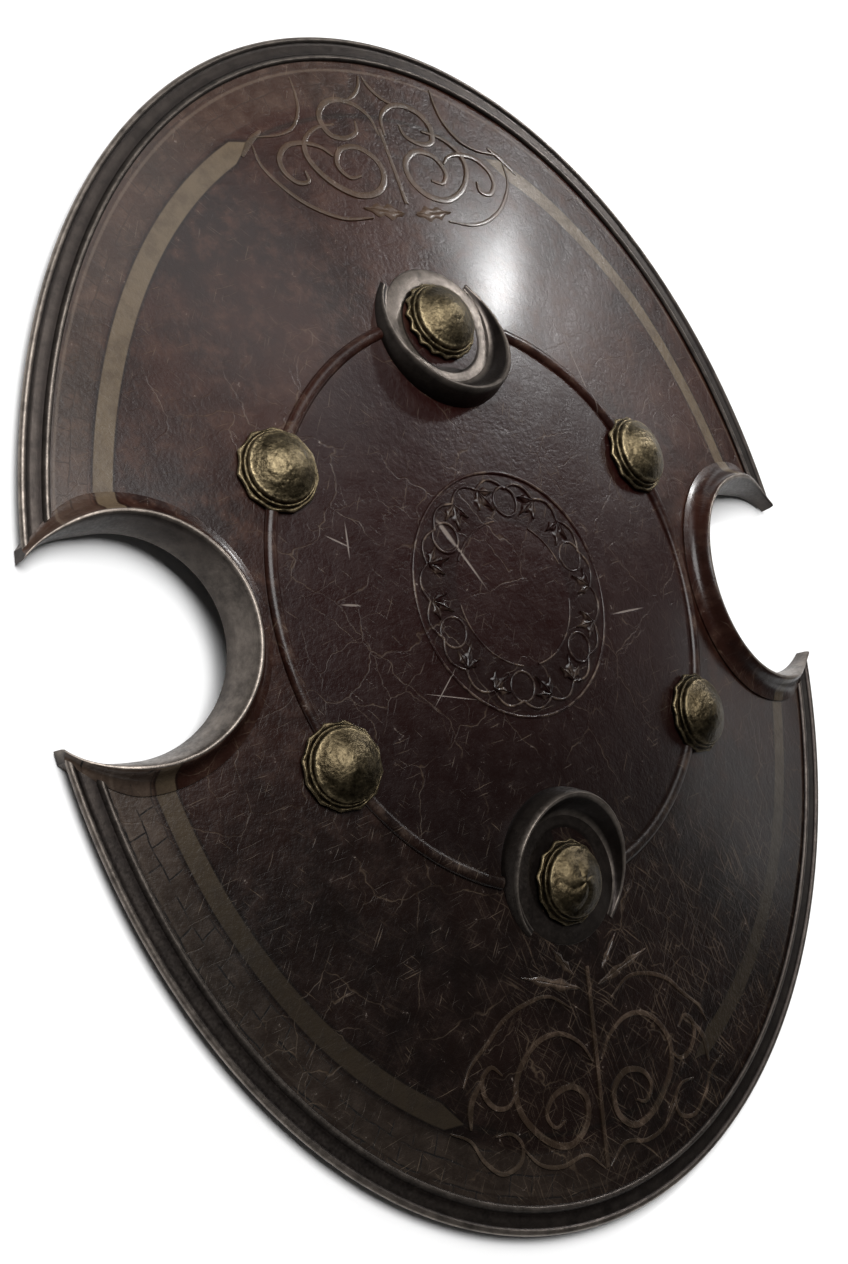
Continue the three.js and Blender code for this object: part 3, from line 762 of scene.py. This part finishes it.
BOTTOM_STROKES = [
    (2.3, [(3, -232), (10, -222), (22, -215), (35, -215), (46, -221), (54, -232), (54, -244), (47, -255),
           (35, -265), (22, -268), (11, -260), (10, -248), (19, -241), (31, -243), (37, -251),
           (32, -258), (25, -256)]),
    (1.8, [(54, -236), (60, -242), (68, -241), (74, -234), (74, -226), (68, -222), (62, -227)]),
    (1.5, [(86, -228), (80, -219), (68, -210), (58, -202), (44, -197), (28, -196), (14, -204)]),
    (1.5, [(96, -247), (85, -253), (78, -264), (68, -272), (57, -270), (54, -262), (60, -255), (70, -254)]),
    (1.4, [(55, -262), (44, -273), (30, -277), (14, -275), (2, -284)]),
]
END_STROKES = [
    (2.2, [(78, 251), (86, 245), (94, 236)]),
    (2.2, [(74, -226), (82, -236), (84, -248)]),
]

scrollwork = []
for side in (1, -1):
    for half_width, points in TOP_STROKES + BOTTOM_STROKES + END_STROKES:
        path = smooth_line(points, 12 * len(points))
        path = path * (side, 1) + (SCROLL_AXIS, 0)
        swell = np.sin(np.linspace(0.12, math.pi - 0.12, len(path))) ** 0.5
        stroke_width = SCROLL_WIDTH * half_width * swell
        scrollwork.append(band(path, stroke_width, SCROLL_HEIGHT, FLAT_SECTION, worn=SCROLL_WORN))
    for x, y, turn, length, width in SPRAYS:
        facing = turn if side > 0 else math.pi - turn
        scrollwork.append(leaf(SCROLL_AXIS + side * x, y, facing, length, width, SCROLL_HEIGHT, lobes=3))
for y0, y1 in STEMS:
    stem = smooth_line([(SCROLL_AXIS, y0), (SCROLL_AXIS, (y0 + y1) / 2), (SCROLL_AXIS, y1)], 24)
    scrollwork.append(band(stem, STEM_HALF_WIDTH, SCROLL_HEIGHT, FLAT_SECTION, worn=SCROLL_WORN))
add_piece("scrollwork", joined(scrollwork), [], [tan_leather])

# %% [markdown]
# A steel collar goes round each cut-out, and the rim runs under it. Both need the collar's plan, so it
# comes first: a circle round the cut-out that closes in near the outline, where the collar narrows to a
# tip.

# %% The collars' plan
COLLAR_BACK_DEPTH = 8.0
COLLAR_CREST_RADIUS = 58.5
COLLAR_RISE = 11.5
COLLAR_TIP_RISE = 3.5
COLLAR_FADE = 0.13


def collar_point(angle, tip_radius, arc_radius):
    """A point round the right cut-out, its angle measured from the shield's middle, and the rise of the crest
    there. Near the outline the radius closes from the arc's to the tip's, along a smooth step."""
    crest_x = CUTOUT_X - COLLAR_CREST_RADIUS * np.cos(angle)
    crest_y = COLLAR_CREST_RADIUS * np.sin(angle)
    part = np.clip((1 - oval_fraction(crest_x, crest_y)) / COLLAR_FADE, 0, 1)
    full = part * part * (3 - 2 * part)
    radius = tip_radius + (arc_radius - tip_radius) * full
    rise = COLLAR_TIP_RISE + (COLLAR_RISE - COLLAR_TIP_RISE) * full
    return CUTOUT_X - radius * np.cos(angle), radius * np.sin(angle), rise


# %% [markdown]
# The rim is a steel strip folded over the edge: a rounded lip outside, a flat band, and a bead on the
# inside. Its section is carried round the oval, and every line of it stops where it runs under a collar.

# %% The rim
# Each line of the section has its inset from the outline, its lift off the face and how worn it is. A line
# with no lift lies on the floor.
RIM_LINES = [
    (4.5, None, 0.3), (1.6, -3.0, 0.2), (0.2, -0.6, 0.6), (0.0, 0.5, 0.9), (0.35, 1.2, 1.0), (1.0, 1.7, 0.9),
    (1.9, 1.8, 0.5), (2.7, 1.5, 0.2), (3.3, 0.8, 0.0), (4.0, 0.45, 0.0), (5.5, 0.5, 0.1), (7.2, 0.55, 0.1),
    (9.2, 0.5, 0.0), (10.3, 0.45, 0.0), (10.8, 0.9, 0.1), (11.4, 1.7, 0.3), (12.2, 2.1, 0.55),
    (13.0, 2.0, 0.3), (13.7, 1.5, 0.1), (14.2, 0.8, 0.0), (14.2, 0.05, 0.0),
    (10.0, 0.05, 0.0), (10.0, None, 0.0),
]
RIM_STEPS = 300
RIM_TUCK_TIP = 60.8
RIM_TUCK_ARC = 68.5

inset, lift, worn = (np.array(column, float) for column in zip(*RIM_LINES))
search = np.linspace(0.02, 0.6, 1200)[:, None]
edge_x = (HALF_WIDTH - inset) * np.cos(search)
edge_y = (HALF_HEIGHT - inset) * np.sin(search)
tuck_x, tuck_y, unused = collar_point(np.arctan2(edge_y, CUTOUT_X - edge_x), RIM_TUCK_TIP, RIM_TUCK_ARC)
under_collar = np.hypot(edge_x - CUTOUT_X, edge_y) < np.hypot(tuck_x - CUTOUT_X, tuck_y)
first_turn = search[under_collar.shape[0] - 1 - np.argmax(under_collar[::-1], axis=0), 0]
share = np.linspace(0, 1, RIM_STEPS)[:, None]
turn = first_turn + (math.pi - 2 * first_turn) * share
x = (HALF_WIDTH - inset) * np.cos(turn)
y = (HALF_HEIGHT - inset) * np.sin(turn)
z = np.where(np.isnan(lift), 0.0, np.maximum(face_height(x, y), EDGE_HEIGHT) + np.nan_to_num(lift))
for name, end in (("upper_rim", 1), ("lower_rim", -1)):
    skin = tube(np.stack([x, end * y, z], axis=-1), worn)
    add_piece(name + "_strip", skin, [name], [steel])

# %% [markdown]
# A collar is a raised steel lip. Its inside is a steep bright wall, with painted shade towards the top of its
# hole.
# Its outside is a flank that runs down to the face, with the leather turned up over it, so those faces
# take the leather instead of the steel. Its two ends narrow into the beak-like tips of the shield.

# %% The collars
# A line inside has its radius at a tip and along the arc, its share of the rise, and how worn it is. A line
# outside has its share of the flank in place of the two radii. A line underneath has no share of the rise.
COLLAR_INSIDE = [(57.5, 53.5, 0.0, 0.8), (57.6, 54.6, 0.3, 0.8), (57.75, 55.7, 0.62, 0.8),
                 (57.9, 56.8, 0.88, 0.8), (58.2, 57.7, 0.98, 1.0), (58.5, 58.5, 1.0, 1.0),
                 (58.8, 59.2, 0.98, 0.7)]
COLLAR_OUTSIDE = [(0.12, 0.93, 0.1), (0.2, 0.82, 0.0), (0.3, 0.62, 0.0), (0.4, 0.43, 0.0), (0.52, 0.3, 0.0),
                  (0.68, 0.2, 0.05), (0.85, 0.15, 0.05), (1.0, 0.1, 0.1)]
COLLAR_UNDERSIDE = [(61.5, 69.5, np.nan, 0.0), (57.3, 52.5, np.nan, 0.2)]
COLLAR_TIP_FLANK = 3.0
COLLAR_ARC_FLANK = 11.0
COLLAR_WALL_LINES = 4
COLLAR_STEPS = 220

collar_lines = list(COLLAR_INSIDE)
for out, up, rub in COLLAR_OUTSIDE:
    tip_radius = COLLAR_CREST_RADIUS + COLLAR_TIP_FLANK * out
    arc_radius = COLLAR_CREST_RADIUS + COLLAR_ARC_FLANK * out
    collar_lines.append((tip_radius, arc_radius, up, rub))
collar_lines += COLLAR_UNDERSIDE
tip_radius, arc_radius, up, worn = (np.array(column, float) for column in zip(*collar_lines))
search = np.linspace(math.radians(80), math.radians(175), 3000)[:, None]
search_x, search_y, unused = collar_point(search, tip_radius, arc_radius)
last_angle = search[np.argmax(oval_fraction(search_x, search_y) > 1, axis=0), 0]
angle = np.linspace(-1, 1, COLLAR_STEPS)[:, None] * last_angle
x, y, rise = collar_point(angle, tip_radius, arc_radius)
face = np.maximum(face_height(x, y), EDGE_HEIGHT)
z = np.where(np.isnan(up), np.maximum(face - COLLAR_BACK_DEPTH, 0), face + np.nan_to_num(up) * rise)
# Painted shade: the inner wall darkens towards the top of the hole, where it faces down.
painted_shade = np.clip(0.55 - 0.6 * y / COLLAR_CREST_RADIUS, 0.06, 1.0)
inner_wall = np.arange(len(up)) < COLLAR_WALL_LINES
worn = np.where(inner_wall, worn * painted_shade, worn)
for name, side in (("right_collar", 1), ("left_collar", -1)):
    lip = tube(np.stack([side * x, y, z], axis=-1), worn)
    first_line = np.arange(len(lip[1])) % len(up)
    flank = (first_line >= len(COLLAR_INSIDE) - 1) & (first_line < len(up) - 2)
    flank[(COLLAR_STEPS - 1) * len(up):] = False
    add_piece(name + "_lip", lip, [name], [steel, leather], flank)

# %% [markdown]
# A cup is a crescent of steel that shelters each end boss. It stands tallest towards the shield's middle
# and sinks into the leather towards its horns. A thin ring-shaped plate lies inside it, under the boss.
# The plates' brightness is painted light: the upper plate is bright as a painted reflection, and the lower is
# duller, as it is in the shade of its cup.

# %% The cups
CUP_CREST_RADIUS = 37.0
CUP_FLOOR = 17.0
CUP_FLANK = 6.0
CUP_RISE = 15.0
CUP_TIP_RISE = 1.2
CUP_SINK = 0.3
CUP_REACH = math.radians(132)
# A line of the plate has its radius, its lift and how worn it is. Inside the step the plate stays dark, as
# painted shadow under the boss.
CUP_PLATE_LINES = [
    (34.0, 0.0, 0.5), (33.7, 0.6, 0.8), (33.0, 0.9, 0.8), (25.0, 0.9, 0.7), (24.0, 0.7, 0.1),
    (23.0, 0.2, 0.0), (8.0, 0.2, 0.0), (8.0, 0.0, 0.0),
]
# Painted light: the upper plate brighter as a painted reflection, the lower one darker as painted shade.
CUP_PLATE_PAINTED_LIGHT = {"upper_cup": 0.8, "lower_cup": 0.1}
# A line of the crescent has its share of the width and of the rise, its lift, and how worn it is.
CUP_LINES = [
    (-0.5, 0.0, 0.0, 0.7), (-0.48, 0.0, 0.8, 0.8), (-0.42, 0.06, 0.7, 0.7),
    (-0.3, 0.2, 0.5, 0.0), (-0.2, 0.45, 0.3, 0.0), (-0.1, 0.8, 0.1, 0.0), (-0.05, 0.96, 0.0, 1.0),
    (0.06, 1.0, 0.0, 1.0), (0.2, 0.95, 0.0, 0.5), (0.42, 0.78, 0.0, 0.1), (0.62, 0.55, 0.0, 0.1),
    (0.8, 0.36, 0.0, 0.05), (0.93, 0.2, 0.0, 0.0), (1.0, 0.06, 0.3, 0.0),
    (1.0, 0.0, 0.0, 0.0),
]
out, up, clear, worn = (np.array(column, float) for column in zip(*CUP_LINES))
turn = np.linspace(-CUP_REACH, CUP_REACH, 140)[:, None]
fade = np.maximum(np.cos(math.pi / 2 * turn / CUP_REACH), 0) ** 1.2
rise = CUP_TIP_RISE + (CUP_RISE - CUP_TIP_RISE) * fade
width = 0.35 + 0.65 * fade
radius = CUP_CREST_RADIUS + np.where(out < 0, CUP_FLOOR, CUP_FLANK) * width * out
x = radius * np.sin(turn)
y = CUP_Y - radius * np.cos(turn)
z = face_height(x, y) - CUP_SINK + clear + up * rise
plate_radius, plate_up, plate_worn = (np.array(column, float) for column in zip(*CUP_PLATE_LINES))
plate_turn = np.linspace(0, 2 * math.pi, 97)[:-1, None]
plate_x = plate_radius * np.sin(plate_turn)
plate_y = CUP_Y - plate_radius * np.cos(plate_turn)
plate_z = face_height(plate_x, plate_y) - CUP_SINK + plate_up
for name, end in (("upper_cup", 1), ("lower_cup", -1)):
    crescent = tube(np.stack([x, end * y, z], axis=-1), worn)
    plate_points = np.stack([plate_x, end * plate_y, plate_z], axis=-1)
    plate = tube(plate_points, CUP_PLATE_PAINTED_LIGHT[name] * plate_worn, ring=True)
    add_piece(name + "_crescent", joined([crescent, plate]), [name], [steel])

# %% [markdown]
# The bosses are cast brass: a scalloped skirt, two stepped rings and a domed cap. Each is a profile
# turned about the face's normal, whose radius and height also change with the angle, which gives the
# scallops, and low ridges or petals on the cap. Crossed lines on the rings are only rubbed brighter.

# %% The bosses
BOSS_RADIUS = 21.0
BOSS_HEIGHT = 14.0
BOSS_GAP = 0.3
RIDGE_HEIGHT = 0.006
PETAL_HEIGHT = 0.06
SCALLOP_REACH = 0.075
SCALLOP_DROP = 0.08
# A point of the profile has its share of the radius and of the height, and how worn it is.
BOSS_PROFILE = [
    (0.84, 0.0, 0.1), (0.95, 0.03, 0.2), (1.0, 0.1, 0.8), (0.99, 0.16, 1.0), (0.96, 0.19, 0.6),
    (0.93, 0.18, 0.1), (0.91, 0.22, 0.1), (0.905, 0.3, 0.5), (0.89, 0.34, 0.9), (0.865, 0.34, 0.2),
    (0.85, 0.36, 0.1), (0.845, 0.46, 0.6), (0.82, 0.52, 1.0), (0.78, 0.55, 0.6), (0.73, 0.59, 0.4),
    (0.63, 0.68, 0.45), (0.5, 0.8, 0.5), (0.34, 0.9, 0.55), (0.17, 0.97, 0.65), (0.05, 0.997, 0.75),
]


def boss(centre_x, centre_y, lobes, twist, petals, shine):
    """Rings of the profile about the face's normal. The skirt's radius and height follow the lobes. The cap's
    height follows twisted ridges, or petals where there is no twist. The shine scales how worn it all is."""
    radius, height, worn = smooth_line(BOSS_PROFILE, 70).T[:, :, None]
    around = np.linspace(0, 2 * math.pi, 145)[:-1]
    skirt = np.clip((radius - 0.92) / 0.05, 0, 1) * (0.7 + 0.3 * np.cos(around + lobes))
    crown = np.clip((0.76 - radius) / 0.1, 0, 1) * np.clip(radius / 0.15, 0, 1)
    scallop = 0.6 - np.abs(np.cos(lobes * around / 2))
    ridges = np.cos(twist * around + 22 * radius + 0.9 * np.cos(5 * around + 9 * radius))
    petal = np.abs(np.cos(petals * around / 2 + 3 * radius))
    relief = crown * (RIDGE_HEIGHT * ridges if twist else PETAL_HEIGHT * (petal - 0.6))
    lines = np.clip(2.5 * ridges - 1.5, 0, 1) * crown
    web = np.maximum(np.cos(lobes * around + 34 * radius), np.cos(lobes * around - 34 * radius))
    web = np.clip(4 * web - 3, 0, 1) * np.clip((radius - 0.72) / 0.05, 0, 1)
    radius = BOSS_RADIUS * radius * (1 + SCALLOP_REACH * skirt * scallop)
    height = BOSS_GAP + BOSS_HEIGHT * (height + relief - SCALLOP_DROP * skirt * scallop)
    worn = shine * np.clip(0.75 * worn + 0.15 * lines + 0.35 * web + 0.3 * skirt * scallop, 0, 1)
    base = on_face(centre_x, centre_y)
    up = face_normal(np.array(float(centre_x)), np.array(float(centre_y)))
    right = np.cross((0.0, 1.0, 0.0), up)
    right = right / np.linalg.norm(right)
    ahead = np.cross(up, right)
    flat = right * np.cos(around)[:, None] + ahead * np.sin(around)[:, None]
    grid = base + radius[..., None] * flat + height[..., None] * up
    return cap(grid, base + BOSS_GAP * up, base + (BOSS_GAP + BOSS_HEIGHT) * up, worn)


# Each boss has its place, its lobes, twist and petals, and its shine.
BOSSES = {
    "top_boss": (0, END_BOSS_Y, 16, 1, 0, 0.85),
    "bottom_boss": (0, -END_BOSS_Y, 12, 0, 4, 0.5),
    "upper_left_boss": (-SIDE_BOSS[0], SIDE_BOSS[1], 11, 3, 0, 1.0),
    "upper_right_boss": (SIDE_BOSS[0], SIDE_BOSS[1], 11, -3, 0, 1.0),
    "lower_left_boss": (-SIDE_BOSS[0], -SIDE_BOSS[1], 12, 2, 0, 0.65),
    "lower_right_boss": (SIDE_BOSS[0], -SIDE_BOSS[1], 12, -2, 0, 0.55),
}
for name, form in BOSSES.items():
    add_piece(name + "_casting", boss(*form), [name], [brass], sharp=60)

# %% [markdown]
# The back isn't in the picture. A targe hangs on the arm by a wide strap for the forearm and a narrow
# grip for the hand, so both are here, plain: a band of leather that bows away from the board, stitched
# along both edges, with a pair of rivets through each end.

# %% The straps
# Each strap has the x of its middle, its width, half its free span, and how far it bows away.
STRAP_THICKNESS = 4.0
STRAP_TAB = 22.0
STRAP_CLEAR = 0.6
STRAPS = {"arm_strap": (62.0, 46.0, 70.0, 27.0), "hand_grip": (-78.0, 26.0, 56.0, 27.0)}
STITCH_STEP = 6.0
STITCH_INSET = 4.0
STITCH_SIZE = np.array([0.7, 2.2, 0.45])
RIVET_SIZE = np.array([5.0, 5.0, 1.6])
RIVET_WORN = 0.6


def strap_top(x, y, span, drop):
    """Height of a strap's upper side: just under the board, and lower by the drop times 1 - (y / span)^4."""
    stand = drop * np.maximum(0, 1 - np.abs(y / span) ** 4)
    return face_height(x, y) - BOARD_THICKNESS - STRAP_CLEAR - stand


corner = np.linspace(0, 2 * math.pi, 25)[:-1]
squared = np.stack([np.cos(corner), np.sin(corner)], axis=-1)
squared = np.sign(squared) * np.abs(squared) ** (0.25, 0.5)
ball_turn = np.linspace(0, math.pi, 7)[1:-1, None]
ball_around = np.linspace(0, 2 * math.pi, 9)[:-1]
ball = np.stack([np.sin(ball_turn) * np.cos(ball_around), np.cos(ball_turn) + 0 * ball_around,
                 np.sin(ball_turn) * np.sin(ball_around)], axis=-1)
for name, (middle, width, span, drop) in STRAPS.items():
    y = np.linspace(-span - STRAP_TAB, span + STRAP_TAB, 90)[:, None]
    x = middle + width / 2 * squared[:, 0] + 0 * y
    y = y + 0 * x
    z = strap_top(x, y, span, drop) - STRAP_THICKNESS / 2 * (1 - squared[:, 1])
    strap = tube(np.stack([x, y, z], axis=-1))
    add_piece(name + "_leather", strap, [name], [plain_finishes["oiled strap leather"]])
    stitches = []
    rivets = []
    for side in (1, -1):
        line = middle + side * (width / 2 - STITCH_INSET)
        for spot in np.arange(-span, span + 1, STITCH_STEP):
            centre = np.array([line, spot, strap_top(line, spot, span, drop) - STRAP_THICKNESS])
            tip = STITCH_SIZE * (0, 1, 0)
            stitches.append(cap(centre + ball * STITCH_SIZE, centre + tip, centre - tip))
        for end in (1, -1):
            spot = end * (span + STRAP_TAB / 2)
            across = middle + side * width / 4
            centre = np.array([across, spot, strap_top(across, spot, span, drop) - STRAP_THICKNESS])
            tip = RIVET_SIZE * (0, 0, 1)
            upright = ball[:, :, [0, 2, 1]]
            rivets.append(cap(centre + upright * RIVET_SIZE, centre + tip, centre - tip, RIVET_WORN))
    add_piece(name + "_stitching", joined(stitches), [], [plain_finishes["waxed thread"]])
    add_piece(name + "_rivets", joined(rivets), [], [brass])

# %% [markdown]
# The stage is a white floor and five soft lights. A large one overhead lights everything. A small one low
# behind the shield sits where a mirror laid on the face beside the top cup would show it to the camera,
# so the varnish shines there. Three dim ones lay a sheen on the upper left of the face and on its right
# side.

# %% Floor and lights
white, tree, place = new_material("white paper")
fibre = add(tree, "TexNoise", {"Vector": place, "Scale": 1 / 40, "Detail": 3.0})[0]
paper = add(tree, "Mix", {0: fibre, 6: colour("#f4f4f4"), 7: colour("#fafafa")}, **COLOURS)[2]
surface = add(tree, "BsdfPrincipled", {"Base Color": paper, "Roughness": 0.9})[0]
add(tree, "OutputMaterial", {"Surface": surface})
FLOOR_HALF = 3.0
FLOOR_DROP = 0.001
floor_mesh = bpy.data.meshes.new("floor")
floor_signs = ((-1, -1), (1, -1), (1, 1), (-1, 1))
floor_corners = [(FLOOR_HALF * sx, FLOOR_HALF * sy, -FLOOR_DROP) for sx, sy in floor_signs]
floor_mesh.from_pydata(floor_corners, [], [(0, 1, 2, 3)])
floor_mesh.materials.append(white)
floor = bpy.data.objects.new("floor", floor_mesh)
bpy.context.scene.collection.objects.link(floor)


def add_light(name, place, target, width, height, power):
    """A rectangular area light that faces a target, its width level."""
    light = bpy.data.lights.new(name, "AREA")
    light.shape = "RECTANGLE"
    light.size = width
    light.size_y = height
    light.energy = power
    lamp = bpy.data.objects.new(name, light)
    lamp.location = place
    lamp.rotation_euler = (Vector(target) - Vector(place)).to_track_quat("-Z", "Y").to_euler()
    bpy.context.scene.collection.objects.link(lamp)


add_light("overhead", (-0.9, 1.2, 3.2), (0, 0, 0), 2.2, 2.2, 165)
add_light("upper_left", (0.65, 1.25, 1.7), (-0.1, 0.15, 0.04), 0.9, 0.6, 5)
add_light("low_back", (1.75, 1.12, 1.1), (0.05, 0.16, 0.04), 0.19, 0.19, 16)
add_light("right_top", (2.0, 0.78, 0.87), (0.15, 0.1, 0.03), 0.5, 0.3, 1.4)
add_light("right_side", (2.4, -0.15, 0.85), (0.1, -0.1, 0.0), 0.7, 0.5, 1.6)
world = bpy.data.worlds.new("studio")
world.use_nodes = True
world.node_tree.nodes["Background"].inputs["Color"].default_value = (1, 1, 1, 1)
world.node_tree.nodes["Background"].inputs["Strength"].default_value = 0.04
bpy.context.scene.world = world
bpy.context.scene.view_settings.view_transform = "Standard"
print("lights:", [light.name for light in bpy.data.lights])

# %% [markdown]
# The camera was found by fitting the outline of the face, the cut-outs and the bosses to the picture. Its
# matrix holds its right, up and backward directions as columns, then its place.

# %% Camera
CAMERA_PLACE = (-0.8180, -0.1618, 0.8901)
CAMERA_RIGHT = Vector((0.7472, -0.2166, 0.6283)).normalized()
CAMERA_BACK = Vector((-0.6598, -0.1288, 0.7403)).normalized()
FOCAL_PIXELS = 2400.0
PICTURE_HEIGHT = 1264.0
camera = bpy.data.objects.new("camera", bpy.data.cameras.new("camera"))
camera.data.sensor_width = 36.0
camera.data.lens = FOCAL_PIXELS / PICTURE_HEIGHT * camera.data.sensor_width
up = CAMERA_BACK.cross(CAMERA_RIGHT)
columns = Matrix((CAMERA_RIGHT, up, CAMERA_BACK)).transposed()
camera.matrix_world = Matrix.Translation(CAMERA_PLACE) @ columns.to_4x4()
bpy.context.scene.collection.objects.link(camera)
bpy.context.scene.camera = camera
print("camera: focal length", round(camera.data.lens, 1), "mm")
